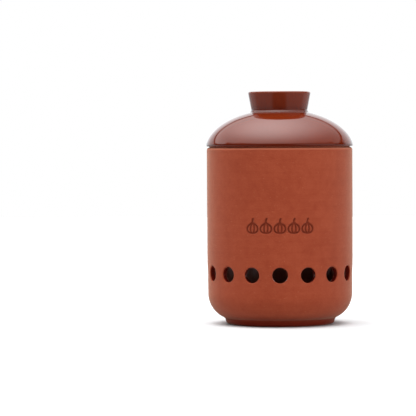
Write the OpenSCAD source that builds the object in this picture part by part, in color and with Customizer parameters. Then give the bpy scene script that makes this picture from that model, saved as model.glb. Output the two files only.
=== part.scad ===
// Garlic keeper: a terracotta pot with a ring of air vents low in its wall, and a
// glazed domed lid with a flared ring knob. The lid lifts straight off the pot.
// Millimetres, +Z up. The origin is on the pot's axis, on the surface that it stands
// on, and one vent faces the front, which is -Y.

/* [Pot] */
// Outside diameter of the pot's straight wall
pot_d = 125; // [110:0.5:150]
// Height of the pot, from the surface that it stands on to its rim
pot_h = 151.6; // [110:0.1:200]
// Thickness of the pot's wall and floor
pot_wall = 5; // [4:0.1:7]
// Radius of the curve that turns the wall in under the pot
shoulder_r = 22.5; // [18:0.5:28]
// How far the wall draws in, on the radius, between the straight part and that curve
wall_draft = 0.6; // [0:0.1:2]
// Height at which the straight wall starts to draw in
draft_h = 62; // [54:1:100]
// Rounding of the rim's outer edge
rim_round = 2.6; // [1:0.1:4]
// Rounding of the rim's inner edge
rim_inner_round = 0.6; // [0.3:0.1:1]

/* [Foot] */
// Outside diameter of the foot ring, just above its rounded edge
foot_d = 93.4; // [86:0.2:98]
// How much wider the foot ring is, on the radius, where it meets the pot
foot_flare = 1.1; // [0:0.1:2]
// Height of the pot's base curve above the surface that the foot ring stands on
foot_h = 3.8; // [3.5:0.1:8]
// Rounding of the foot ring's outer edge
foot_round = 3; // [0.5:0.1:3.5]
// Width of the flat ring that touches the surface
foot_land = 5.5; // [3:0.1:10]
// Depth of the recess inside the foot ring
foot_recess = 3.2; // [1:0.1:3.5]
// Rounding of the recess's corners
recess_round = 1.4; // [0.3:0.1:1.5]

/* [Vents] */
// Number of vents over the front half, from one side to the other
front_vents = 9; // [3:2:11]
// Number of vents spread evenly over the rest of the way round
back_vents = 6; // [2:2:8]
// Angle from one front vent to the next
vent_step = 22.5; // [18:0.5:25]
// Diameter of each vent
vent_d = 13.1; // [6:0.1:15]
// Height of the vents' centres above the surface that the pot stands on
vent_h = 44.3; // [40:0.1:90]

/* [Lid] */
// How far the lid's lip reaches past the pot's wall, on the radius
lip_overhang = 0.7; // [0:0.1:3]
// Open gap between the lip's underside and the pot's rim
lip_gap = 0.65; // [0.3:0.05:2]
// Rounding of the lip's edge
lip_round = 1.3; // [1:0.1:2.5]
// Height of the dome's oval section, from its centre line to the crown
dome_h = 35.8; // [28:0.1:45]
// How far that centre line lies under the lid's widest line
dome_drop = 5.1; // [1:0.1:8]
// Thickness of the lid at its crown
lid_wall = 5; // [4:0.1:8]

/* [Seat] */
// How far the seat under the lid reaches past the flat of the pot's rim
seat_margin = 0.5; // [0.2:0.1:0.8]
// Free play between the lid's flange and the inside of the pot, on the radius
flange_play = 1.7; // [0.5:0.1:3]
// How far the flange reaches down into the pot
flange_h = 6; // [3:0.1:12]
// Thickness of the flange
flange_t = 4; // [3:0.1:6]
// Rounding of the flange's lower edges
flange_round = 1.2; // [0.3:0.1:1.4]

/* [Knob] */
// Diameter of the knob at its top
knob_d = 53.8; // [46:0.2:70]
// Diameter of the knob at its waist
waist_d = 48.2; // [40:0.2:60]
// Height of the knob above the dome's crown
knob_h = 14.8; // [10:0.1:30]
// Thickness of the knob's ring
knob_wall = 5; // [3:0.1:7]
// Rounding of the knob's top edges
knob_round = 1.2; // [0.3:0.1:1.4]
// Rounding inside the knob's recess, where the ring meets the floor
knob_fillet = 3; // [1:0.1:5]
// Diameter over the bead at the knob's base
bead_d = 50.2; // [44:0.2:64]
// Radius of the bead's round section
bead_round = 2.6; // [1:0.1:3]

/* [Hidden] */
$fn = 96;

terracotta = "#A44B2D";
red_brown_glaze = "#792D16";

// Number of straight steps in a small rounding, and in a long curve
round_steps = 6;
curve_steps = 24;

// Pot
pot_r = pot_d / 2;
pot_in_r = pot_r - pot_wall;
shoulder_centre = [pot_r - wall_draft - shoulder_r, foot_h + shoulder_r];
shoulder_in_r = shoulder_r - pot_wall;
// The rim keeps a flat top between its two roundings, however thin the wall is
rim_out_round = min(rim_round, pot_wall - 2 * rim_inner_round);

// Foot ring
foot_r = foot_d / 2;
foot_top_r = foot_r + foot_flare;
foot_land_r = foot_r - foot_round;
foot_in_r = foot_land_r - foot_land;
foot_turn = acos((foot_top_r - shoulder_centre[0]) / shoulder_r);
// The recess's side is two quarter rounds, which together are no taller than it is
recess_edge = min(recess_round, foot_recess / 2);

// Vents: how far each one is turned from the front
front_span = (front_vents - 1) * vent_step;
back_step = (360 - front_span) / (back_vents + 1);
vent_turns = concat(
    [for (i = [0 : front_vents - 1]) i * vent_step - front_span / 2],
    [for (i = [1 : back_vents]) front_span / 2 + i * back_step]
);

// Seat: the lid rests on the flat of the pot's rim, inside the rounding
seat_z = pot_h;
seat_r = pot_r - rim_out_round + seat_margin;
flange_r = pot_in_r - flange_play;
flange_in_r = flange_r - flange_t;
flange_z = pot_h - flange_h;

// Lid
lid_r = pot_r + lip_overhang;
lip_z = pot_h + lip_gap;
widest_z = lip_z + lip_round;
dome_centre_z = widest_z - dome_drop;
dome_turn = asin(dome_drop / dome_h);
dome_r = lid_r / cos(dome_turn);
crown_z = dome_centre_z + dome_h;
hollow_h = crown_z - lid_wall - widest_z;

// Knob
knob_r = knob_d / 2;
waist_r = waist_d / 2;
knob_z = crown_z + knob_h;
knob_lean = atan((knob_r - waist_r) / knob_h);
bead_centre_r = bead_d / 2 - bead_round;
bead_centre_z = dome_centre_z + dome_h * sqrt(1 - pow(bead_centre_r / dome_r, 2));
bead_turn = acos((waist_r - bead_centre_r) / bead_round);
dome_end_turn = acos(bead_d / 2 / dome_r);

// Points of an oval arc about a centre, with its half width and half height
function oval(centre, half_w, half_h, from, to, steps) = [
    for (i = [0 : steps])
        let (a = from + (to - from) * i / steps)
        centre + [half_w * cos(a), half_h * sin(a)]
];

// Points of a round arc about a centre
function arc(centre, r, from, to, steps = round_steps) = oval(centre, r, r, from, to, steps);

// Half section of the pot, from the middle of its underside round to the middle of its floor
function pot_section() = concat(
    [[0, foot_recess]],
    arc([foot_in_r - recess_edge * 2, foot_recess - recess_edge], recess_edge, 90, 0),
    arc([foot_in_r, recess_edge], recess_edge, 180, 270),
    arc([foot_land_r, foot_round], foot_round, -90, 0),
    arc(shoulder_centre, shoulder_r, -foot_turn, 0, curve_steps),
    [[pot_r, draft_h]],
    arc([pot_r - rim_out_round, pot_h - rim_out_round], rim_out_round, 0, 90),
    arc([pot_in_r + rim_inner_round, pot_h - rim_inner_round], rim_inner_round, 90, 180),
    [[pot_in_r, draft_h]],
    arc(shoulder_centre, shoulder_in_r, 0, -90, curve_steps),
    [[0, shoulder_centre[1] - shoulder_in_r]]
);

// Half section of the lid, from the top of its hollow round to the floor of its knob
function lid_section() = concat(
    oval([0, widest_z], flange_in_r, hollow_h, 90, 0, curve_steps),
    arc([flange_in_r + flange_round, flange_z + flange_round], flange_round, 180, 270),
    arc([flange_r - flange_round, flange_z + flange_round], flange_round, -90, 0),
    [[flange_r, seat_z], [seat_r, seat_z], [seat_r, lip_z]],
    arc([lid_r - lip_round, widest_z], lip_round, -90, 0),
    oval([0, dome_centre_z], dome_r, dome_h, dome_turn, dome_end_turn, curve_steps),
    arc([bead_centre_r, bead_centre_z], bead_round, 0, bead_turn),
    arc([knob_r - knob_round, knob_z - knob_round], knob_round, -knob_lean, 90),
    arc([knob_r - knob_wall + knob_round, knob_z - knob_round], knob_round, 90, 180 - knob_lean),
    arc([waist_r - knob_wall - knob_fillet, crown_z + knob_fillet], knob_fillet, 0, -90),
    [[0, crown_z]]
);

// The vents' round holes, each bored square through the wall
module vents() {
    for (turn = vent_turns)
        rotate([0, 0, turn - 90])
            translate([pot_in_r - vent_d / 2, 0, vent_h])
                rotate([0, 90, 0])
                    cylinder(d = vent_d, h = pot_wall + vent_d);
}

// The pot: wall, floor, shoulder and foot ring, thrown as one piece
module pot() {
    color(terracotta)
        difference() {
            rotate_extrude()
                polygon(pot_section());
            vents();
        }
}

// The lid: dome, lip, seat, flange and ring knob, fired as one piece
module lid() {
    color(red_brown_glaze)
        rotate_extrude()
            polygon(lid_section());
}

pot();
lid();
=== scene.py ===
"""Garlic keeper: a bare terracotta pot with a ring of air vents and a row of pressed
bulbs, under a domed lid with a ring knob in a glossy red-brown glaze.

Everything is in metres, +Z up, with the origin on the pot's axis on the surface that it
stands on. The front, with one vent facing it, is -Y.
"""

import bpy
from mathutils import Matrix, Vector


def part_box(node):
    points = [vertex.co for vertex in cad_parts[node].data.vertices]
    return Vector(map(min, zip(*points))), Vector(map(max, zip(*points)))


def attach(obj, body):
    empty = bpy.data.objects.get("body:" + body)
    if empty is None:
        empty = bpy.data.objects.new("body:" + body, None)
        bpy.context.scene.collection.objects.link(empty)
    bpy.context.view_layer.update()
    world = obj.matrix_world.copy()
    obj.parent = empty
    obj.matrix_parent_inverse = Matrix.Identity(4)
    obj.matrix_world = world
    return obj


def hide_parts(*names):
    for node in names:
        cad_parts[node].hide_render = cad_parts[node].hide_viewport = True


bl_info = {
    "name": "Garlic Keeper",
    "version": (1, 0, 0),
    "blender": (4, 5, 0),
    "location": "View3D > Sidebar > Keeper",
    "description": "Builds a terracotta garlic keeper with a glazed lid, and a studio round it",
    "category": "Add Mesh",
}

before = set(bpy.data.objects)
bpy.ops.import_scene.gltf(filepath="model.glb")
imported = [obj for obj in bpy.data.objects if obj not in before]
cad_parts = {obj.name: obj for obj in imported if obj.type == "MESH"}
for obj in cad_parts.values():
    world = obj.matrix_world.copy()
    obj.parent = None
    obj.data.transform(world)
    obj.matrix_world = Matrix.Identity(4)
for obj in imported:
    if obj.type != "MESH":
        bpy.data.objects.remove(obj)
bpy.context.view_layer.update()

import math

import bmesh
import bpy
import numpy as np
from bpy.props import FloatProperty, FloatVectorProperty, IntProperty, PointerProperty
from bpy.types import NodeSocket, Operator, Panel, PropertyGroup, Scene
from mathutils import Matrix, Vector

FRONT = -90.0  # the turn about +Z, in degrees, at which a point faces the front

# Steps of the lathed outlines and of the pot's surface
ROUND_STEPS = 12
CURVE_STEPS = 48
EASE_STEPS = 6
LEAST_CORNER = 8.0  # degrees; a smaller turn needs no easing
MOST_TRIMMED = 0.45  # share of a line that the easing of one end may take
LONGEST_STEP = 0.004  # metres
WELD = 2e-6  # metres; points nearer than this become one
PATCH_COLUMNS = 16  # across one vent's share of the pot
PATCH_ROWS = 16
PATCH_RINGS = (0.0, 0.3, 0.55, 0.75, 0.9)  # shares of the way from a patch's border to its vent
VENT_EDGE_STEPS = 6
BORE_STEPS = 5
WALL_ROWS = 4  # between the shoulder and the vents' band
INNER_ROWS = 24  # inside, between the rim and the vents' band
FINE = 5  # columns of the pressed row to one of the pot's
BULB_STEPS = 14  # of each curve of a bulb's outline
LID_COLUMNS = 240


# -------------------------------- settings


def length(name, description, default):
    """A size in metres."""
    return FloatProperty(
        name=name, description=description, default=default,
        min=0.0, precision=5, subtype="DISTANCE", unit="LENGTH",
    )


def share(name, description, default, highest=1.0):
    """A number from 0 to its highest value."""
    return FloatProperty(name=name, description=description, default=default, min=0.0, max=highest)


def colour(name, description, default):
    """A linear colour."""
    return FloatVectorProperty(
        name=name, description=description, default=default,
        size=3, min=0.0, max=1.0, subtype="COLOR",
    )


def turn(name, description, default):
    """An angle, given in degrees."""
    return FloatProperty(
        name=name, description=description, default=math.radians(default),
        subtype="ANGLE", unit="ROTATION",
    )


def number(name, description, default, least):
    """A whole number."""
    return IntProperty(name=name, description=description, default=default, min=least)


class PotSettings(PropertyGroup):
    """Sizes of the pot; its width and height come from the frame."""

    wall: length("Wall", "Thickness of the wall and floor", 0.005)
    shoulder_radius: length("Shoulder", "Radius of the curve that turns the wall in", 0.0225)
    draft: length("Draft", "How far the wall draws in above that curve", 0.0006)
    draft_height: length("Draft height", "Where the straight wall starts to draw in", 0.062)
    rim_round: length("Rim rounding", "Rounding of the rim's outer edge", 0.0026)
    rim_inner_round: length("Inner rim rounding", "Rounding of the rim's inner edge", 0.0006)
    foot_width: length("Foot width", "Diameter of the foot ring above its rounded edge", 0.0934)
    foot_flare: length("Foot flare", "How much wider the foot is where it meets the pot", 0.0011)
    foot_height: length("Foot height", "Height of the base curve above the surface", 0.0038)
    foot_round: length("Foot rounding", "Rounding of the foot ring's outer edge", 0.003)
    foot_land: length("Foot land", "Width of the flat ring that touches the surface", 0.0055)
    foot_recess: length("Foot recess", "Depth of the recess inside the foot ring", 0.0032)
    recess_round: length("Recess rounding", "Rounding of the recess's corners", 0.0014)
    soft_corner: length("Soft corner", "Reach of the easing where the foot meets the pot", 0.0009)
    glaze_drop: length("Glaze line", "How far under the rim the inside's glaze starts", 0.0045)


class VentSettings(PropertyGroup):
    """Sizes of the ring of vents."""

    front: number("Front vents", "Number of vents from side to side in front", 9, 3)
    back: number("Back vents", "Number of vents over the rest of the way round", 6, 2)
    step: turn("Step", "Angle from one front vent to the next", 22.5)
    width: length("Width", "Diameter of each vent", 0.0131)
    height: length("Height", "Height of the vents' centres above the surface", 0.0443)
    edge: length("Edge", "Rounding of each vent's outer edge", 0.0008)
    inner_edge: length("Inner edge", "Rounding of each vent's edge inside the pot", 0.0006)
    band: length("Band", "Height of the pot's surface that is laid out round each vent", 0.022)


class StampSettings(PropertyGroup):
    """Sizes of the row of bulbs pressed into the front."""

    count: number("Bulbs", "Number of bulbs in the row", 5, 1)
    pitch: length("Pitch", "Distance from one bulb to the next, along the wall", 0.0118)
    height: length("Height", "Height of the row's middle above the surface", 0.0856)
    bulb_width: length("Bulb width", "Width of one bulb", 0.0094)
    bulb_height: length("Bulb height", "Height of one bulb", 0.0122)
    stroke: length("Stroke", "Width of a pressed line", 0.0015)
    soft_edge: length("Soft edge", "Width over which a line's side slopes", 0.00055)
    depth: length("Depth", "Depth of the pressed lines", 0.001)
    band: length("Band", "Height of the finely laid out band that holds the row", 0.0152)
    row_step: length("Row step", "Height of one row of points in that band", 0.00031)


class LidSettings(PropertyGroup):
    """Sizes of the lid; its width, top and flange come from the frame."""

    lip_gap: length("Lip gap", "Open gap between the lip and the rim", 0.00065)
    lip_round: length("Lip rounding", "Rounding of the lip's edge", 0.0013)
    dome_height: length("Dome height", "Height of the dome's oval section", 0.0358)
    dome_drop: length("Dome drop", "How far that section's middle lies under the widest line", 0.0051)
    wall: length("Wall", "Thickness of the lid at its crown", 0.005)
    seat_margin: length("Seat margin", "How far the seat reaches past the flat of the rim", 0.0005)
    flange_play: length("Flange play", "Play between the flange and the inside of the pot", 0.0017)
    flange_thickness: length("Flange", "Thickness of the flange", 0.004)
    flange_round: length("Flange rounding", "Rounding of the flange's lower edges", 0.0012)
    knob_width: length("Knob width", "Diameter of the knob at its top", 0.0538)
    waist_width: length("Waist", "Diameter of the knob at its waist", 0.0482)
    knob_wall: length("Knob wall", "Thickness of the knob's ring", 0.005)
    knob_round: length("Knob rounding", "Rounding of the knob's top edges", 0.0012)
    knob_fillet: length("Knob fillet", "Rounding inside the knob's recess", 0.003)
    bead_width: length("Bead width", "Diameter over the bead at the knob's base", 0.0502)
    bead_round: length("Bead", "Radius of the bead's round section", 0.0029)
    bead_drop: length("Bead drop", "How far the bead's middle lies under the dome's surface", 0.0012)
    pool_reach: length("Pooling", "Reach of the glaze that fills the corners", 0.0009)
    pool_width: length("Pool width", "Width over which the glaze darkens towards a corner", 0.003)
    pool_lip: length("Lip pooling", "Width over which it darkens towards the lip's edge", 0.0019)


class FinishSettings(PropertyGroup):
    """Colours and grain of the clay and the glazes."""

    clay: colour("Clay", "Terracotta of the pot", (0.32, 0.053, 0.0195))
    clay_dark: colour("Dark clay", "Darkest mottling of the terracotta", (0.265, 0.038, 0.013))
    clay_pale: colour("Pale clay", "Palest mottling of the terracotta", (0.375, 0.073, 0.03))
    # Painted shade in the pressed lines
    pressed_painted_shade: colour("Pressed clay", "Terracotta in the pressed lines", (0.16, 0.018, 0.004))
    # Painted shade that darkens the clay towards the foot's edge
    foot_painted_shade: colour("Foot clay", "Darker terracotta at the edge of the foot", (0.22, 0.015, 0.0015))
    # Painted highlight on the rim's outer edge
    rim_painted_highlight: colour("Rim clay", "Paler terracotta where the rim is rubbed", (0.47, 0.13, 0.07))
    grit: colour("Grit", "Fine pale mineral grains in the clay", (0.5, 0.18, 0.09))
    glaze: colour("Glaze", "Red-brown glaze of the lid", (0.17, 0.021, 0.005))
    glaze_thick: colour("Thick glaze", "Glaze where it pools", (0.085, 0.008, 0.002))
    glaze_thin: colour("Thin glaze", "Glaze where it breaks over an edge", (0.26, 0.045, 0.014))
    inner_glaze: colour("Inner glaze", "Brown glaze inside the pot", (0.42, 0.15, 0.1))
    # Glaze in the vents, its dark colour partly painted shade in the bores
    vent_glaze_painted_shade: colour("Vent glaze", "Dark red-brown glaze in the vents", (0.13, 0.009, 0.005))
    clay_roughness: share("Clay roughness", "Roughness of the bare clay", 0.82)
    glaze_roughness: share("Glaze roughness", "Roughness of the lid's glaze", 0.05)
    inner_roughness: share("Inner roughness", "Roughness of the glaze inside the pot", 0.16)


class StudioSettings(PropertyGroup):
    """The camera, the floor and the light."""

    distance: length("Distance", "Distance of the camera in front of the pot's axis", 2.03)
    eye_height: length("Eye height", "Height of the camera above the floor", 0.1531)
    lens: FloatProperty(
        name="Lens", description="Focal length in millimetres", default=204.3,
        min=1.0, unit="CAMERA",
    )
    pan: turn("Pan", "How far the camera turns to the left", 1.7415)
    tilt: turn("Tilt", "How far the camera looks down", 1.513)
    roll: turn("Roll", "How far the camera leans to the right", 0.3)
    floor_width: length("Floor", "Width of the floor", 6.0)
    floor_colour: colour("Floor colour", "Colour of the floor", (0.6, 0.58, 0.57))
    floor_seen: colour("Floor seen", "Colour of the floor to the camera", (0.735, 0.755, 0.765))
    floor_front: colour("Floor in front", "Colour of the front floor in reflections", (0.03, 0.03, 0.03))
    floor_back: colour("Floor behind", "Colour of the far floor in reflections", (0.3, 0.3, 0.3))
    level: share("Level", "Strength of the light", 0.8, highest=2.0)


# -------------------------------- outlines


def oval(centre, half_width, half_height, start, end, steps):
    """Points of an oval arc about a centre, from one angle to another, in degrees."""
    angles = np.radians(np.linspace(start, end, steps + 1))
    across = centre[0] + half_width * np.cos(angles)
    up = centre[1] + half_height * np.sin(angles)
    return np.stack([across, up], axis=1)


def arc(centre, radius, start, end, steps=ROUND_STEPS):
    """Points of a round arc about a centre."""
    return oval(centre, radius, radius, start, end, steps)


def refined(line, longest=LONGEST_STEP):
    """The same line with its long steps divided, most finely near their ends."""
    parts = []
    for start, end in zip(line[:-1], line[1:]):
        count = math.ceil(np.linalg.norm(end - start) / longest)
        count = count + 2 if count > 1 else 1
        along = (1 - np.cos(np.pi * np.arange(count) / count)) / 2
        parts.append(start + (end - start) * along[:, None])
    return np.concatenate([*parts, line[-1:]])


def trimmed(line, reach):
    """The line without its last stretch of that length."""
    steps = np.linalg.norm(np.diff(line, axis=0), axis=1)
    left = np.concatenate([np.cumsum(steps[::-1])[::-1], [0.0]])
    reach = min(reach, MOST_TRIMMED * left[0])
    last = np.nonzero(left > reach)[0][-1]
    part = (left[last] - reach) / steps[last]
    cut = line[last] + (line[last + 1] - line[last]) * part
    return np.concatenate([line[:last + 1], [cut]])


def eased(first, second, reach):
    """Two lines that meet at a corner, joined by a small curve in place of the corner."""
    corner = first[-1]
    first = trimmed(first, reach)
    second = trimmed(second[::-1], reach)[::-1]
    along = np.linspace(0, 1, EASE_STEPS + 1)[1:-1, None]
    curve = (1 - along) ** 2 * first[-1] + 2 * along * (1 - along) * corner + along ** 2 * second[0]
    return np.concatenate([first, curve]), second


def corner_angle(first, second):
    """How far the direction turns from the end of one line to the start of the next."""
    before = Vector(first[-1] - first[-2])
    after = Vector(second[1] - second[0])
    return math.degrees(before.angle(after))


def joined(lines, reach):
    """One line through all the given ones, with straight runs between them and eased corners."""
    runs = []
    end = None
    for line in lines:
        line = np.array(line, float)
        if end is not None and np.linalg.norm(line[0] - end) > WELD:
            runs.append(np.stack([end, line[0]]))
        if len(line) > 1:
            runs.append(line)
        end = line[-1]
    whole = runs[0]
    for run in runs[1:]:
        if corner_angle(whole, run) > LEAST_CORNER:
            whole, run = eased(whole, run, reach)
        else:
            run = run[1:]
        whole = np.concatenate([whole, run])
    return refined(whole)


def smooth(share_done):
    """A step from 0 to 1 that starts and ends level."""
    share_done = np.clip(share_done, 0, 1)
    return share_done * share_done * (3 - 2 * share_done)


# -------------------------------- meshes


class Shell:
    """The points and faces of one piece while it is being laid out."""

    def __init__(self):
        self.points = []
        self.faces = []
        self.finishes = []
        self.total = 0

    def add_points(self, points):
        """Adds points of shape (..., 3) and returns their numbers, in the same shape."""
        shape = points.shape[:-1]
        numbers = self.total + np.arange(int(np.prod(shape))).reshape(shape)
        self.points.append(points.reshape(-1, 3))
        self.total += numbers.size
        return numbers

    def add_quads(self, numbers, finish, closed=False):
        """Adds a face between each four neighbours of a grid of point numbers."""
        if closed:
            numbers = np.concatenate([numbers, numbers[:, :1]], axis=1)
        corners = [numbers[:-1, :-1], numbers[:-1, 1:], numbers[1:, 1:], numbers[1:, :-1]]
        quads = np.stack(corners, axis=-1).reshape(-1, 4).tolist()
        self.faces.extend(quads)
        self.finishes.extend([finish] * len(quads))

    def add_grid(self, points, finish, closed=False):
        """Adds a grid of points with its faces."""
        self.add_quads(self.add_points(points), finish, closed)

    def add_turned(self, lines, angles):
        """Adds each outline, turned all the way round in its own finish."""
        for line, finish in lines:
            self.add_grid(lathed(line, angles), finish, closed=True)

    def add_step(self, coarse, fine, finish):
        """Adds the faces between a coarse row of points and one that is finer by a whole number."""
        coarse = self.add_points(coarse)
        fine = self.add_points(fine)
        each = (len(fine) - 1) // (len(coarse) - 1)
        for i in range(len(coarse) - 1):
            far_side = fine[i * each:(i + 1) * each + 1][::-1]
            self.faces.append([int(coarse[i]), int(coarse[i + 1]), *far_side.tolist()])
            self.finishes.append(finish)

    def to_object(self, name, materials):
        """Welds the seams and returns the piece as an object."""
        mesh = bpy.data.meshes.new(name)
        mesh.from_pydata(np.concatenate(self.points).tolist(), [], self.faces)
        mesh.polygons.foreach_set("material_index", self.finishes)
        mesh.polygons.foreach_set("use_smooth", [True] * len(self.faces))
        for material in materials:
            mesh.materials.append(material)
        work = bmesh.new()
        work.from_mesh(mesh)
        bmesh.ops.remove_doubles(work, verts=work.verts, dist=WELD)
        bmesh.ops.recalc_face_normals(work, faces=work.faces)
        work.to_mesh(mesh)
        work.free()
        return new_object(name, mesh)


def new_object(name, data):
    """A new object in the scene, with its origin at the frame's."""
    made = bpy.data.objects.new(name, data)
    bpy.context.scene.collection.objects.link(made)
    return made


def lathed(line, angles):
    """Points of a line of (radius, height) turned about the axis to each angle, in degrees."""
    angles = np.radians(angles)
    radius, height = line[:, :1], line[:, 1:]
    return np.stack(
        [radius * np.cos(angles), radius * np.sin(angles), height + 0 * angles], axis=-1
    )


def mesh_section(piece):
    """A piece's points as (radius, height)."""
    points = np.zeros(len(piece.data.vertices) * 3)
    piece.data.vertices.foreach_get("co", points)
    x, y, height = points.reshape(-1, 3).T
    return np.stack([np.hypot(x, y), height], axis=1)


def set_attribute(piece, name, values):
    """Stores one number at each point of a piece, for its material."""
    attribute = piece.data.attributes.new(name, "FLOAT", "POINT")
    attribute.data.foreach_set("value", values.astype(np.float32))


def nearness(section, places, width):
    """How near each point is to any of the given places on the outline, from 0 to 1."""
    gaps = [np.linalg.norm(section - np.array(place), axis=1) for place in places]
    return np.exp(-(np.min(gaps, axis=0) / width) ** 2)


# -------------------------------- pot


class PotShape:
    """The pot's outline, worked out from its settings and the frame."""

    def __init__(self, pot, vents, stamp):
        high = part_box("pot")[1]
        self.pot, self.vents, self.stamp = pot, vents, stamp
        self.radius, self.rim = high.x, high.z
        self.inside = self.radius - pot.wall
        self.shoulder = (
            self.radius - pot.draft - pot.shoulder_radius, pot.foot_height + pot.shoulder_radius,
        )
        self.band_low = vents.height - vents.band / 2
        self.band_high = vents.height + vents.band / 2
        self.stamp_low = stamp.height - stamp.band / 2
        self.stamp_high = stamp.height + stamp.band / 2

    def wall(self, height, inward=0.0):
        """Points of the wall at the given heights, or of its inner face."""
        height = np.atleast_1d(np.asarray(height, float))
        drawn = 1 - smooth(
            (height - self.shoulder[1]) / (self.pot.draft_height - self.shoulder[1])
        )
        return np.stack([self.radius - inward - self.pot.draft * drawn, height], axis=1)

    def radius_at(self, height, inward=0.0):
        """Radius of the wall at each height."""
        flat = self.wall(np.ravel(height), inward)[:, 0]
        return flat.reshape(np.shape(height))

    def base_line(self):
        """From the middle of the underside out to the lower edge of the vents' band."""
        pot = self.pot
        foot_radius = pot.foot_width / 2
        foot_top = foot_radius + pot.foot_flare
        land_radius = foot_radius - pot.foot_round
        recess_radius = land_radius - pot.foot_land
        edge = min(pot.recess_round, pot.foot_recess / 2)
        foot_turn = math.degrees(math.acos((foot_top - self.shoulder[0]) / pot.shoulder_radius))
        return joined(
            [
                [[0, pot.foot_recess], [recess_radius - 2 * edge, pot.foot_recess]],
                arc((recess_radius - 2 * edge, pot.foot_recess - edge), edge, 90, 0),
                arc((recess_radius, edge), edge, 180, 270),
                arc((land_radius, pot.foot_round), pot.foot_round, -90, 0),
                arc(self.shoulder, pot.shoulder_radius, -foot_turn, 0, CURVE_STEPS),
                self.wall(np.linspace(self.shoulder[1], self.band_low, WALL_ROWS)),
            ],
            pot.soft_corner,
        )

    def rim_line(self):
        """From the pressed row's band up over the rim and down inside to the glaze's edge."""
        pot = self.pot
        outer_round = min(pot.rim_round, pot.wall - 2 * pot.rim_inner_round)
        outer = (self.radius - outer_round, self.rim - outer_round)
        inner = (self.inside + pot.rim_inner_round, self.rim - pot.rim_inner_round)
        return joined(
            [
                self.wall(self.stamp_high),
                self.wall(self.stamp_high + LONGEST_STEP),
                arc(outer, outer_round, 0, 90),
                arc(inner, pot.rim_inner_round, 90, 180),
                self.wall(self.rim - pot.glaze_drop, pot.wall),
            ],
            pot.rim_inner_round,
        )

    def inner_wall_line(self):
        """From the glaze's edge down inside to the vents' band."""
        heights = np.linspace(self.rim - self.pot.glaze_drop, self.band_high, INNER_ROWS)
        return self.wall(heights, self.pot.wall)

    def floor_line(self):
        """From the lower edge of the vents' band inside to the middle of the floor."""
        inner_round = self.pot.shoulder_radius - self.pot.wall
        return joined(
            [
                self.wall(np.linspace(self.band_low, self.shoulder[1], WALL_ROWS), self.pot.wall),
                arc(self.shoulder, inner_round, 0, -90, CURVE_STEPS // 2),
                [[0, self.shoulder[1] - inner_round]],
            ],
            self.pot.rim_inner_round,
        )


def vent_turns(vents):
    """How far each vent is turned from the front, in degrees, once round from the front one."""
    step = math.degrees(vents.step)
    side = (vents.front - 1) / 2 * step
    back_step = (360 - 2 * side) / (vents.back + 1)
    return np.concatenate([
        np.arange(0, side + step / 2, step),
        side + back_step * np.arange(1, vents.back + 1),
        np.arange(360 - side, 360 - step / 2, step),
    ])


def column_turns(vents):
    """How far each column of the pot's points is turned from the front, in degrees."""
    turns = np.append(vent_turns(vents), 360)
    return np.concatenate([
        np.linspace(start, end, PATCH_COLUMNS, endpoint=False)
        for start, end in zip(turns[:-1], turns[1:])
    ])


def patch_border(shape, before, after, inward):
    """Points (sideways, height) round the edge of a vent's patch, from its upper right corner."""
    across = np.concatenate([
        np.linspace(-before, 0, PATCH_COLUMNS // 2, endpoint=False),
        np.linspace(0, after, PATCH_COLUMNS // 2 + 1),
    ])
    sides = [
        (across[:0:-1], shape.band_high),
        (-before, np.linspace(shape.band_high, shape.band_low, PATCH_ROWS, endpoint=False)),
        (across[:-1], shape.band_low),
        (after, np.linspace(shape.band_low, shape.band_high, PATCH_ROWS, endpoint=False)),
    ]
    border = [np.stack(np.broadcast_arrays(*side), axis=-1) for side in sides]
    angles, heights = np.concatenate(border).T
    return shape.radius_at(heights, inward) * np.sin(np.radians(angles)), heights


def patch_circle():
    """Directions from a vent's centre that match the points of its patch's border."""
    corners = (45, 135, 225, 315, 405)
    counts = (PATCH_COLUMNS, PATCH_ROWS, PATCH_COLUMNS, PATCH_ROWS)
    parts = [
        np.linspace(start, end, count, endpoint=False)
        for start, end, count in zip(corners[:-1], corners[1:], counts)
    ]
    return np.radians(np.concatenate(parts))


def patch_rings(shape, before, after, edge, inward):
    """Rings (outward, sideways, height) from a patch's border in over the vent's rounded edge."""
    radius = shape.vents.width / 2
    sideways, heights = patch_border(shape, before, after, inward)
    around = patch_circle()
    into_wall = -1 if inward == 0 else 1
    rings = []

    def add(done, circle, depth):
        across = (1 - done) * sideways + done * circle * np.cos(around)
        up = (1 - done) * heights + done * (shape.vents.height + circle * np.sin(around))
        surface = np.sqrt(shape.radius_at(up, inward) ** 2 - across ** 2)
        rings.append(np.stack([surface + into_wall * depth, across, up], axis=-1))

    for done in PATCH_RINGS:
        add(done, radius + edge, 0.0)
    for bend in np.radians(np.linspace(0, 90, VENT_EDGE_STEPS + 1)):
        add(1.0, radius + edge * (1 - math.sin(bend)), edge * (1 - math.cos(bend)))
    return np.array(rings)


def placed(rings, angle):
    """Rings (outward, sideways, height) set round a vent's own direction."""
    outward, sideways, height = np.moveaxis(rings, -1, 0)
    cos, sin = math.cos(math.radians(angle)), math.sin(math.radians(angle))
    return np.stack(
        [outward * cos - sideways * sin, outward * sin + sideways * cos, height], axis=-1
    )


def add_vents(shell, shape):
    """The band of the pot that holds the vents, inside and out, with their bores."""
    along = np.linspace(0, 1, BORE_STEPS + 1)[:, None, None]
    turns = vent_turns(shape.vents)
    gaps = np.diff(turns, append=turns[0] + 360) / 2
    for turned, before, after in zip(turns, np.roll(gaps, 1), gaps):
        outer = patch_rings(shape, before, after, shape.vents.edge, 0.0)
        inner = patch_rings(shape, before, after, shape.vents.inner_edge, shape.pot.wall)[::-1]
        bore = outer[-1] + (inner[0] - outer[-1]) * along
        angle = FRONT + turned
        shell.add_grid(placed(outer, angle), CLAY, closed=True)
        # The bores' glaze is darkened as painted shade
        shell.add_grid(placed(bore, angle), VENT_GLAZE_AND_SHADE, closed=True)
        shell.add_grid(placed(inner, angle), INNER_GLAZE, closed=True)


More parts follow.
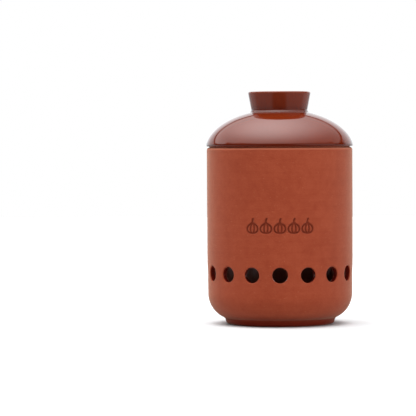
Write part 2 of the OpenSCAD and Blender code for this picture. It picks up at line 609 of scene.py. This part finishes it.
def bezier(start, first, second, end):
    """Points along a cubic curve."""
    t = np.linspace(0, 1, BULB_STEPS + 1)[:, None]
    start, first, second, end = (np.array(p, float) for p in (start, first, second, end))
    return (
        (1 - t) ** 3 * start + 3 * (1 - t) ** 2 * t * first
        + 3 * (1 - t) * t ** 2 * second + t ** 3 * end
    )


def bulb_lines():
    """Lines of one garlic bulb: its sides, the cloves' edges and the stem, in a box of 1 by 1."""
    side = np.concatenate([
        bezier((0.00, 0.80), (0.04, 0.70), (0.16, 0.66), (0.28, 0.60)),
        bezier((0.28, 0.60), (0.42, 0.53), (0.50, 0.42), (0.50, 0.30)),
        bezier((0.50, 0.30), (0.50, 0.12), (0.32, 0.02), (0.00, 0.02)),
    ])
    clove = bezier((0.00, 0.72), (0.18, 0.56), (0.24, 0.28), (0.09, 0.04))
    stem = bezier((0.00, 0.80), (0.00, 0.88), (0.02, 0.94), (0.07, 1.00))
    mirror = np.array([-1.0, 1.0])
    return [side, side * mirror, clove, clove * mirror, stem]


def line_distance(points, lines):
    """Distance from each point to the nearest of the lines."""
    nearest = np.full(len(points), np.inf)
    for line in lines:
        for start, end in zip(line[:-1], line[1:]):
            step = end - start
            if not step.any():
                continue
            along = np.clip((points - start) @ step / (step @ step), 0, 1)
            gaps = np.linalg.norm(points - start - along[:, None] * step, axis=1)
            nearest = np.minimum(nearest, gaps)
    return nearest


def pressed(shape, sideways, heights):
    """How deep the row of bulbs is pressed at each place on the wall, as a share of its depth."""
    stamp = shape.stamp
    scale = np.array([stamp.bulb_width, stamp.bulb_height])
    low = stamp.height - stamp.bulb_height / 2
    bulb = [line * scale + (0, low) for line in bulb_lines()]
    middle = (stamp.count - 1) / 2
    nearest_bulb = np.clip(np.round(sideways / stamp.pitch + middle), 0, stamp.count - 1) - middle
    points = np.stack([sideways - nearest_bulb * stamp.pitch, heights], axis=-1)
    gaps = line_distance(points.reshape(-1, 2), bulb).reshape(sideways.shape)
    return smooth((stamp.stroke / 2 - gaps) / stamp.soft_edge + 0.5)


def add_stamped_band(shell, shape, turns):
    """The band that holds the pressed row: finely laid out in front, coarsely elsewhere."""
    stamp = shape.stamp
    turn_each = math.degrees(shape.vents.step) / PATCH_COLUMNS
    half = math.degrees(stamp.count * stamp.pitch / 2 / shape.radius)
    reach = math.ceil(half / turn_each / (PATCH_COLUMNS // 2)) * (PATCH_COLUMNS // 2)
    rows = math.ceil(stamp.band / stamp.row_step)
    line = shape.wall(np.linspace(shape.stamp_low, shape.stamp_high, rows + 1))
    shell.add_grid(lathed(line, FRONT + turns[reach:len(turns) - reach + 1]), CLAY)
    coarse = FRONT + turn_each * np.arange(-reach, reach + 1)
    fine = FRONT + turn_each / FINE * np.arange(-reach * FINE, reach * FINE + 1)
    sideways = np.radians(fine - FRONT) * shape.radius
    heights = line[1:-1, 1:]
    depth = stamp.depth * pressed(shape, *np.broadcast_arrays(sideways, heights))
    outward = lathed(np.array([[1.0, 0.0]]), fine)
    points = lathed(line[1:-1], fine) - depth[..., None] * outward
    shell.add_grid(points, CLAY)
    shell.add_step(lathed(line[:1], coarse)[0], points[0], CLAY)
    shell.add_step(lathed(line[-1:], coarse)[0], points[-1], CLAY)


def build_pot(pot, vents, stamp, materials):
    """The pot: foot, shoulder, wall with its vents and pressed row, rim and inside."""
    shape = PotShape(pot, vents, stamp)
    turns = column_turns(vents)
    middle = refined(np.concatenate([shape.wall(shape.band_high), shape.wall(shape.stamp_low)]))
    middle = shape.wall(middle[:, 1])
    lines = [
        (shape.base_line(), CLAY), (middle, CLAY), (shape.rim_line(), CLAY),
        (shape.inner_wall_line(), INNER_GLAZE), (shape.floor_line(), INNER_GLAZE),
    ]
    shell = Shell()
    shell.add_turned(lines, FRONT + turns)
    add_vents(shell, shape)
    add_stamped_band(shell, shape, turns)
    piece = shell.to_object("terracotta_pot", materials)
    section = mesh_section(piece)
    depth = shape.radius_at(section[:, 1]) - section[:, 0]
    in_band = (section[:, 1] > shape.stamp_low) & (section[:, 1] < shape.stamp_high)
    shallow = depth < pot.wall / 2
    # The depth of the pressed lines, which the clay reads to paint shade into them
    set_attribute(piece, "pressed", np.where(in_band & shallow, depth / stamp.depth, 0).clip(0, 1))
    return piece


# -------------------------------- lid


def lid_lines(lid, pot):
    """The lid's outline in three lines: the hollow, the bare seat and flange, and the outside."""
    pot_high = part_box("pot")[1]
    low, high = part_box("lid")
    inside = pot_high.x - pot.wall
    rim_round = min(pot.rim_round, pot.wall - 2 * pot.rim_inner_round)
    seat_radius = pot_high.x - rim_round + lid.seat_margin
    flange_radius = inside - lid.flange_play
    hollow_radius = flange_radius - lid.flange_thickness
    lip = pot_high.z + lid.lip_gap
    widest = lip + lid.lip_round
    middle = widest - lid.dome_drop
    dome_turn = math.degrees(math.asin(lid.dome_drop / lid.dome_height))
    dome_radius = high.x / math.cos(math.radians(dome_turn))
    crown = middle + lid.dome_height
    lean = math.degrees(math.atan((lid.knob_width - lid.waist_width) / 2 / (high.z - crown)))
    knob_radius, waist_radius = lid.knob_width / 2, lid.waist_width / 2
    bead_radius = lid.bead_width / 2 - lid.bead_round

    def dome_at(radius):
        return middle + lid.dome_height * math.sqrt(1 - (radius / dome_radius) ** 2)

    bead_height = dome_at(bead_radius) - lid.bead_drop
    dome_edge = dome_at(lid.bead_width / 2)
    bead_start = math.degrees(math.asin(max(dome_edge - bead_height, 0) / lid.bead_round))
    bead_foot = bead_radius + lid.bead_round * math.cos(math.radians(bead_start))
    bead_turn = math.degrees(math.acos((waist_radius - bead_radius) / lid.bead_round))
    dome_end = math.degrees(math.acos(bead_foot / dome_radius))
    shoulder = high.z - lid.knob_round
    floor_radius = waist_radius - lid.knob_wall - lid.knob_fillet
    inner_top = knob_radius - lid.knob_wall + lid.knob_round
    flange_foot = low.z + lid.flange_round
    flange_inside = (hollow_radius + lid.flange_round, flange_foot)
    flange_outside = (flange_radius - lid.flange_round, flange_foot)
    hollow = [
        oval((0, widest), hollow_radius, crown - lid.wall - widest, 90, 0, CURVE_STEPS),
        arc(flange_inside, lid.flange_round, 180, 225),
    ]
    seat = [
        arc(flange_inside, lid.flange_round, 225, 270),
        arc(flange_outside, lid.flange_round, -90, 0),
        [[flange_radius, pot_high.z], [seat_radius, pot_high.z]],
        [[seat_radius, lip]],
    ]
    outside = [
        [[seat_radius, lip], [high.x - lid.lip_round, lip]],
        arc((high.x - lid.lip_round, widest), lid.lip_round, -90, 0, 2 * ROUND_STEPS),
        oval((0, middle), dome_radius, lid.dome_height, dome_turn, dome_end, 2 * CURVE_STEPS),
        arc((bead_radius, bead_height), lid.bead_round, bead_start, bead_turn, 2 * ROUND_STEPS),
        arc((knob_radius - lid.knob_round, shoulder), lid.knob_round, -lean, 90),
        arc((inner_top, shoulder), lid.knob_round, 90, 180 - lean),
        arc((floor_radius, crown + lid.knob_fillet), lid.knob_fillet, 0, -90),
        [[0, crown]],
    ]
    corners = [
        (lid.bead_width / 2, middle + lid.dome_height * math.sin(math.radians(dome_end))),
        (waist_radius, bead_height + lid.bead_round * math.sin(math.radians(bead_turn))),
        (waist_radius - lid.knob_wall, crown),
    ]
    edges = [(knob_radius, high.z), (knob_radius - lid.knob_wall, high.z)]
    lip_edge = [(high.x, lip + lid.lip_round / 2)]
    lines = [joined(lines, lid.pool_reach) for lines in (hollow, seat, outside)]
    return lines, corners, edges, lip_edge


def build_lid(lid, pot, materials):
    """The lid: hollow, flange, seat, lip, dome, bead and ring knob."""
    lines, corners, edges, lip_edge = lid_lines(lid, pot)
    angles = FRONT + 360 / LID_COLUMNS * np.arange(LID_COLUMNS)
    shell = Shell()
    shell.add_turned(zip(lines, (GLAZE, BARE_SEAT, GLAZE)), angles)
    piece = shell.to_object("glazed_lid", materials)
    section = mesh_section(piece)
    pooled = np.maximum(
        CORNER_POOL * nearness(section, corners, lid.pool_width),
        nearness(section, lip_edge, lid.pool_lip),
    )
    set_attribute(piece, "pooled", pooled)
    set_attribute(piece, "thinned", nearness(section, edges, lid.knob_round))
    return piece


# -------------------------------- materials

# Places of the finishes in each piece's list of materials
CLAY, INNER_GLAZE, VENT_GLAZE_AND_SHADE = 0, 1, 2
GLAZE, BARE_SEAT = 0, 1

# Clay: the shades from darkest to plain and from plain to palest, and the share of the full change
# of colour in its grit and in the painted shade of the pressed lines
PLAIN_SHADES, PALE_SHADES = (0.38, 0.5), (0.5, 0.64)
GRIT_SHARE, PRESSED_SHADE_SHARE = 0.45, 0.85
GRIT_SCALE = 520.0
GRIT_RARITY = 0.86  # share of the cells that hold no grain
GRIT_RIM_TO_CORE = (0.22, 0.1)  # distances from a grain's middle
RING_STRETCH = (14.0, 14.0, 420.0)
ROUGHNESS_SPREAD = 0.08

# Heights in metres: where the painted shade towards the foot ends and is full, and how far under the
# rim's top the two edges of the rim's band of painted highlight lie, each from none to full
FOOT_PAINTED_SHADE = (0.0095, 0.003)
HIGHLIGHT_BELOW, HIGHLIGHT_ABOVE = (0.0026, 0.0014), (0.0007, 0.0011)

# Glaze: the share of the full change of colour where it pools in a corner, in its clouds, over a
# thin edge and in its flecks
CORNER_POOL, CLOUD_POOL, THIN_SHARE, FLECK_SHARE = 0.5, 0.22, 0.7, 0.35
FLECKS = (0.62, 0.75)
SMOOTHEST, ROUGHEST = 0.8, 1.3  # times the glaze's roughness

NOISE_RANGE = (0.3, 0.7)  # values of a soft noise that count as its lowest and its highest


class NodeBoard:
    """Adds nodes to one tree and links them."""

    def __init__(self, tree):
        tree.nodes.clear()
        self.tree = tree

    def put(self, value, socket):
        """Gives a socket a number, a colour or another node's output."""
        if isinstance(value, NodeSocket):
            self.tree.links.new(value, socket)
        elif socket.type == "RGBA":
            socket.default_value = (*value, 1.0)
        else:
            socket.default_value = value

    def add(self, kind, sockets=None, **settings):
        """Adds a node with the given settings and sockets."""
        made = self.tree.nodes.new(kind)
        for name, value in settings.items():
            setattr(made, name, value)
        for name, value in (sockets or {}).items():
            self.put(value, made.inputs[name])
        return made

    def math(self, operation, *values):
        """A sum of one kind on numbers or outputs."""
        sockets = dict(enumerate(values))
        return self.add("ShaderNodeMath", sockets, operation=operation).outputs[0]

    def product(self, first, *others):
        """Several values multiplied."""
        for value in others:
            first = self.math("MULTIPLY", first, value)
        return first

    def weighted(self, *parts):
        """The sum of several values, each times its weight."""
        total = 0.0
        for value, weight in parts:
            total = self.math("MULTIPLY_ADD", value, weight, total)
        return total

    def place(self):
        """The place of each point in the shared frame."""
        return self.add("ShaderNodeTexCoord").outputs["Object"]

    def split(self, vector):
        """The three parts of a vector."""
        return self.add("ShaderNodeSeparateXYZ", {"Vector": vector}).outputs

    def attribute(self, name):
        """A number stored at the piece's points."""
        return self.add("ShaderNodeAttribute", attribute_name=name).outputs["Fac"]

    def noise(self, place, scale, detail=3.0, roughness=0.5):
        """Soft random values of a given fineness, in features to the metre."""
        sockets = {"Vector": place, "Scale": scale, "Detail": detail, "Roughness": roughness}
        return self.add("ShaderNodeTexNoise", sockets).outputs["Fac"]

    def remap(self, value, low, high, new_low=0.0, new_high=1.0):
        """A value moved from one range to another, and kept within it."""
        sockets = {
            "Value": value, "From Min": low, "From Max": high,
            "To Min": new_low, "To Max": new_high,
        }
        return self.add("ShaderNodeMapRange", sockets, clamp=True).outputs[0]

    def spread(self, noise, new_low, new_high):
        """A soft noise moved to another range."""
        return self.remap(noise, *NOISE_RANGE, new_low, new_high)

    def blend(self, amount, first, second):
        """One number turning into another."""
        sockets = {0: amount, 2: first, 3: second}
        return self.add("ShaderNodeMix", sockets, data_type="FLOAT").outputs[0]

    def mix(self, amount, first, second):
        """One colour turning into another."""
        sockets = {0: amount, 6: first, 7: second}
        return self.add("ShaderNodeMix", sockets, data_type="RGBA").outputs[2]

    def stretched(self, place, scale):
        """Coordinates scaled along each axis."""
        return self.add("ShaderNodeMapping", {"Vector": place, "Scale": scale}).outputs[0]

    def surface(self, sockets):
        """The finished surface."""
        shader = self.add("ShaderNodeBsdfPrincipled", sockets)
        self.add("ShaderNodeOutputMaterial", {"Surface": shader.outputs[0]})

    def bump(self, height, distance, strength, normal=None):
        """A fine relief of the given height in metres."""
        sockets = {"Height": height, "Distance": distance, "Strength": strength}
        if normal is not None:
            sockets["Normal"] = normal
        return self.add("ShaderNodeBump", sockets).outputs[0]


def new_board(name):
    """A new material and the board of its nodes."""
    material = bpy.data.materials.new(name)
    material.use_nodes = True
    return material, NodeBoard(material.node_tree)


def grit_spots(board, place):
    """Fine grains scattered in the clay: 1 on a grain and 0 between them."""
    cells = board.add("ShaderNodeTexVoronoi", {"Vector": place, "Scale": GRIT_SCALE}).outputs
    cell = board.add("ShaderNodeSeparateColor", {"Color": cells["Color"]}).outputs[0]
    rare = board.math("GREATER_THAN", cell, GRIT_RARITY)
    return board.product(board.remap(cells["Distance"], *GRIT_RIM_TO_CORE), rare)


def painted_rim_highlight(board, height):
    """Where the rim's outer edge gets its painted highlight: 1 on a band just under the top of the pot.
    """
    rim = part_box("pot")[1].z
    return board.product(*(
        board.remap(height, rim - start, rim - full)
        for start, full in (HIGHLIGHT_BELOW, HIGHLIGHT_ABOVE)
    ))


def clay_material(finish):
    """Bare terracotta: matte, mottled, faintly ringed by turning, with fine sand in it, painted shade in
    the pressed lines and towards the foot, and a painted highlight on the rim's edge.
    """
    material, board = new_board("bare_terracotta")
    place = board.place()
    height = board.split(place)[2]
    clouds = board.noise(place, scale=24.0, detail=4.0, roughness=0.55)
    blotches = board.noise(place, scale=150.0, roughness=0.6)
    rings = board.noise(board.stretched(place, RING_STRETCH), scale=1.0, roughness=0.6)
    sand = board.noise(place, scale=1500.0, detail=2.0, roughness=0.7)
    spots = grit_spots(board, place)
    shade = board.weighted((clouds, 0.2), (blotches, 0.2), (rings, 0.12), (sand, 0.48))
    plain, pale = board.remap(shade, *PLAIN_SHADES), board.remap(shade, *PALE_SHADES)
    body = board.mix(pale, board.mix(plain, finish.clay_dark, finish.clay), finish.clay_pale)
    body = board.mix(board.product(spots, GRIT_SHARE), body, finish.grit)
    # Painted shade in the pressed lines, deepest where they are deepest
    pressed_shade = board.product(board.attribute("pressed"), PRESSED_SHADE_SHARE)
    body = board.mix(pressed_shade, body, finish.pressed_painted_shade)
    # Painted shade that darkens the clay towards the foot's edge
    body = board.mix(board.remap(height, *FOOT_PAINTED_SHADE), body, finish.foot_painted_shade)
    # Painted highlight on the rim's outer edge
    body = board.mix(painted_rim_highlight(board, height), body, finish.rim_painted_highlight)
    relief = board.bump(sand, distance=0.00022, strength=0.55)
    relief = board.bump(rings, distance=0.00012, strength=0.5, normal=relief)
    relief = board.bump(spots, distance=0.00008, strength=0.5, normal=relief)
    least, most = (finish.clay_roughness + sign * ROUGHNESS_SPREAD for sign in (-1, 1))
    board.surface({
        "Base Color": body, "Roughness": board.spread(sand, least, most), "Normal": relief,
        "IOR": 1.5, "Specular IOR Level": 0.22,
        "Sheen Weight": 0.36, "Sheen Roughness": 0.4, "Sheen Tint": (1.0, 0.82, 0.62),
    })
    return material


def glaze_material(name, thick, middle, thin, roughness):
    """Glossy glaze over clay: darker where it pools, redder where it breaks over an edge."""
    material, board = new_board(name)
    place = board.place()
    clouds = board.noise(place, scale=38.0)
    flecks = board.noise(place, scale=900.0, detail=2.0, roughness=0.6)
    waves = board.noise(place, scale=75.0, detail=2.0, roughness=0.45)
    body = board.mix(board.spread(clouds, 0.0, CLOUD_POOL), middle, thick)
    body = board.mix(board.attribute("pooled"), body, thick)
    body = board.mix(board.product(board.attribute("thinned"), THIN_SHARE), body, thin)
    body = board.mix(board.remap(flecks, *FLECKS, 0.0, FLECK_SHARE), body, thick)
    relief = board.bump(waves, distance=0.0005, strength=0.12)
    relief = board.bump(flecks, distance=0.00006, strength=0.1, normal=relief)
    rough = board.spread(clouds, roughness * SMOOTHEST, roughness * ROUGHEST)
    board.surface({"Base Color": body, "Roughness": rough, "Normal": relief, "IOR": 1.55})
    return material


def lid_glaze(finish):
    """The lid's red-brown glaze."""
    return glaze_material(
        "red_brown_glaze", finish.glaze_thick, finish.glaze,
        finish.glaze_thin, finish.glaze_roughness,
    )


def pot_glaze(name, shade, roughness):
    """One of the pot's two plain glazes, inside it or in its vents; the vents' one is darkened as
    painted shade.
    """
    thick = tuple(c / 2 for c in shade)
    thin = tuple(min(1.0, c * 2) for c in shade)
    return glaze_material(name, thick, shade, thin, roughness)


# -------------------------------- studio

# A direction from the object has three parts from -1 to 1: x to the right, y to the back and z
# up. A pair gives the places on one of them where a light starts and where it is full.
WHITE = (1.0, 1.0, 1.0)

# Overhead light: its level, its gain towards straight overhead and how late that comes, and its
# change to the right and to the back
GLOW_LEVEL, GLOW_GAIN, GLOW_POWER = 1.4, 4.1, 2.1
GLOW_RISE = (0.5, 1.0)
GLOW_RIGHT, GLOW_BACK = -0.48, -0.15

# Its lower edge: its height in front and at the sides, its slopes to the right and to the back
# behind the object, and its least height there
EDGE_FRONT, EDGE_SIDE, EDGE_RIGHT, EDGE_BACK, EDGE_LEAST = 0.47, 0.34, 0.0985, 0.563, 0.25
AT_SIDE, BEHIND = (0.8, 1.0), (0.12, 0.3)
GLOW_EDGE = (0.015, 0.075)  # above that edge

# Card behind the object, under that edge, and its gain straight behind
CARD_EDGE, CARD_SIDE = (-0.015, -0.03), (0.5, 0.65)
CARD_MIDDLE, CARD_GAIN = (0.6, 0.95), 1.7
CARD_COLOUR = (0.9, 0.97, 1.0)

# Dim wall on the right, under that edge: its level on matte surfaces and in glossy reflections
WALL_RIGHT, WALL_BACK, WALL_EDGE = (0.3, 0.8), (0.2, 0.05), (0.0, -0.1)
WALL_MATTE, WALL_GLOSSY = 2.2, 0.7

# Floor: its faint clouds, and the places in metres where its reflection brightens
CLOUD_SCALE, CLOUD_SHARE, CLOUD_DARKNESS = 3.0, 0.04, 0.9
FLOOR_SIDE, FLOOR_SIDE_SHARE, FLOOR_BACK = (0.2, 0.3), 0.6, (-0.1, 0.3)


def overhead_light(board, x, y, z):
    """Level of the overhead light: brightest straight up, and brighter on the left and in front."""
    rise = board.math("POWER", board.remap(z, *GLOW_RISE), GLOW_POWER)
    glow = board.math("MULTIPLY_ADD", rise, GLOW_GAIN, GLOW_LEVEL)
    side = board.math("MULTIPLY_ADD", x, GLOW_RIGHT, 1.0)
    return board.product(glow, board.math("MULTIPLY_ADD", y, GLOW_BACK, side))


def above_edge(board, x, y, z):
    """How far a direction lies above the overhead light's lower edge."""
    front = board.remap(board.math("ABSOLUTE", x), *AT_SIDE, EDGE_FRONT, EDGE_SIDE)
    back = board.math("MULTIPLY_ADD", x, EDGE_RIGHT, board.product(y, EDGE_BACK))
    edge = board.blend(board.remap(y, *BEHIND), front, back)
    return board.math("SUBTRACT", z, board.math("MAXIMUM", edge, EDGE_LEAST))


def card_light(board, y, above):
    """Level of the white card behind the object."""
    gain = board.remap(y, *CARD_MIDDLE, 1.0, CARD_GAIN)
    return board.product(board.remap(above, *CARD_EDGE), board.remap(y, *CARD_SIDE), gain)


def wall_light(board, x, y, above, glossy_ray):
    """Level of the dim wall on the right, dimmer still in the glaze's reflections."""
    return board.product(
        board.remap(x, *WALL_RIGHT), board.remap(y, *WALL_BACK), board.remap(above, *WALL_EDGE),
        board.blend(glossy_ray, WALL_MATTE, WALL_GLOSSY),
    )


def light_world(studio):
    """A soft overhead light that fades towards the horizon, and a white card behind the object."""
    world = bpy.data.worlds.new("soft_studio")
    world.use_nodes = True
    board = NodeBoard(world.node_tree)
    x, y, z = board.split(board.add("ShaderNodeTexCoord").outputs["Generated"])
    rays = board.add("ShaderNodeLightPath").outputs
    above = above_edge(board, x, y, z)
    overhead = board.product(overhead_light(board, x, y, z), board.remap(above, *GLOW_EDGE))
    card = card_light(board, y, above)
    low = board.math("MAXIMUM", card, wall_light(board, x, y, above, rays["Is Glossy Ray"]))
    level = board.product(board.math("ADD", overhead, low), studio.level)

    # What the camera sees is plain white
    seen = rays["Is Camera Ray"]
    background = board.add("ShaderNodeBackground", {
        "Color": board.mix(seen, board.mix(card, WHITE, CARD_COLOUR), WHITE),
        "Strength": board.blend(seen, level, 1.0),
    })
    board.add("ShaderNodeOutputWorld", {"Surface": background.outputs[0]})
    bpy.context.scene.world = world


def floor_material(studio):
    """A plain pale floor, white to the camera and dim in the glaze's reflections."""
    material, board = new_board("pale_floor")
    place = board.place()
    across, depth = board.split(place)[:2]
    rays = board.add("ShaderNodeLightPath").outputs
    pale = studio.floor_colour
    clouds = board.spread(board.noise(place, scale=CLOUD_SCALE), 0.0, CLOUD_SHARE)
    body = board.mix(clouds, pale, tuple(CLOUD_DARKNESS * c for c in pale))
    aside = board.remap(board.math("ABSOLUTE", across), *FLOOR_SIDE, 0.0, FLOOR_SIDE_SHARE)
    aside = board.math("MAXIMUM", aside, board.remap(depth, *FLOOR_BACK))
    dim = board.mix(aside, studio.floor_front, studio.floor_back)
    body = board.mix(rays["Is Glossy Ray"], body, dim)
    body = board.mix(rays["Is Camera Ray"], body, studio.floor_seen)
    board.surface({"Base Color": body, "Roughness": 0.9, "Specular IOR Level": 0.1})
    return material


def build_floor(studio):
    """The floor that the pot stands on."""
    mesh = bpy.data.meshes.new("floor")
    half = studio.floor_width / 2
    corners = [(-half, -half, 0), (half, -half, 0), (half, half, 0), (-half, half, 0)]
    mesh.from_pydata(corners, [], [(0, 1, 2, 3)])
    mesh.materials.append(floor_material(studio))
    floor = new_object("floor", mesh)


def build_camera(studio):
    """A long lens at the height of the lid, turned a little to the left and down."""
    data = bpy.data.cameras.new("camera")
    data.lens = studio.lens
    camera = new_object("camera", data)
    camera.matrix_world = (
        Matrix.Translation((0, -studio.distance, studio.eye_height))
        @ Matrix.Rotation(studio.pan, 4, "Z")
        @ Matrix.Rotation(math.pi / 2 - studio.tilt, 4, "X")
        @ Matrix.Rotation(-studio.roll, 4, "Z")
    )
    bpy.context.scene.camera = camera


# -------------------------------- operators


class KEEPER_OT_add_pot(Operator):
    """Build the terracotta pot with its vents and pressed row of bulbs"""

    bl_idname = "keeper.add_pot"
    bl_label = "Add Pot"

    def execute(self, context):
        scene = context.scene
        finish = scene.keeper_finish
        materials = [
            clay_material(finish),
            pot_glaze("brown_inner_glaze", finish.inner_glaze, finish.inner_roughness),
            # The vents' glaze is darkened as painted shade
            pot_glaze("glaze_and_painted_shade_in_vents", finish.vent_glaze_painted_shade, finish.inner_roughness),
        ]
        piece = build_pot(scene.keeper_pot, scene.keeper_vents, scene.keeper_stamp, materials)
        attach(piece, "pot_body")
        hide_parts("pot")
        return {"FINISHED"}


class KEEPER_OT_add_lid(Operator):
    """Build the glazed lid with its ring knob"""

    bl_idname = "keeper.add_lid"
    bl_label = "Add Lid"

    def execute(self, context):
        scene = context.scene
        finish = scene.keeper_finish
        materials = [lid_glaze(finish), clay_material(finish)]
        piece = build_lid(scene.keeper_lid, scene.keeper_pot, materials)
        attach(piece, "lid_body")
        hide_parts("lid")
        return {"FINISHED"}


class KEEPER_OT_add_studio(Operator):
    """Build the floor, the light and the camera"""

    bl_idname = "keeper.add_studio"
    bl_label = "Add Studio"

    def execute(self, context):
        studio = context.scene.keeper_studio
        light_world(studio)
        build_floor(studio)
        build_camera(studio)
        context.scene.view_settings.view_transform = "Standard"
        return {"FINISHED"}


class KEEPER_PT_sidebar(Panel):
    """Settings and steps of the garlic keeper"""

    bl_idname = "KEEPER_PT_sidebar"
    bl_label = "Garlic Keeper"
    bl_space_type = "VIEW_3D"
    bl_region_type = "UI"
    bl_category = "Keeper"

    def draw(self, context):
        for operator, names in STEPS:
            box = self.layout.box()
            for name in names:
                settings = getattr(context.scene, name)
                for key in settings.__annotations__:
                    box.prop(settings, key)
            box.operator(operator.bl_idname)


SETTINGS = {
    "keeper_pot": PotSettings,
    "keeper_vents": VentSettings,
    "keeper_stamp": StampSettings,
    "keeper_lid": LidSettings,
    "keeper_finish": FinishSettings,
    "keeper_studio": StudioSettings,
}
STEPS = (
    (KEEPER_OT_add_pot, ("keeper_pot", "keeper_vents", "keeper_stamp", "keeper_finish")),
    (KEEPER_OT_add_lid, ("keeper_lid",)),
    (KEEPER_OT_add_studio, ("keeper_studio",)),
)
CLASSES = (*SETTINGS.values(), *(operator for operator, names in STEPS), KEEPER_PT_sidebar)


def register():
    for cls in CLASSES:
        bpy.utils.register_class(cls)
    for name, cls in SETTINGS.items():
        setattr(Scene, name, PointerProperty(type=cls))


def unregister():
    for name in SETTINGS:
        delattr(Scene, name)
    for cls in reversed(CLASSES):
        bpy.utils.unregister_class(cls)


def main():
    """Builds the keeper and its studio."""
    register()
    bpy.ops.keeper.add_pot()
    bpy.ops.keeper.add_lid()
    bpy.ops.keeper.add_studio()
    bpy.context.view_layer.update()


if __name__ == "__main__":
    main()
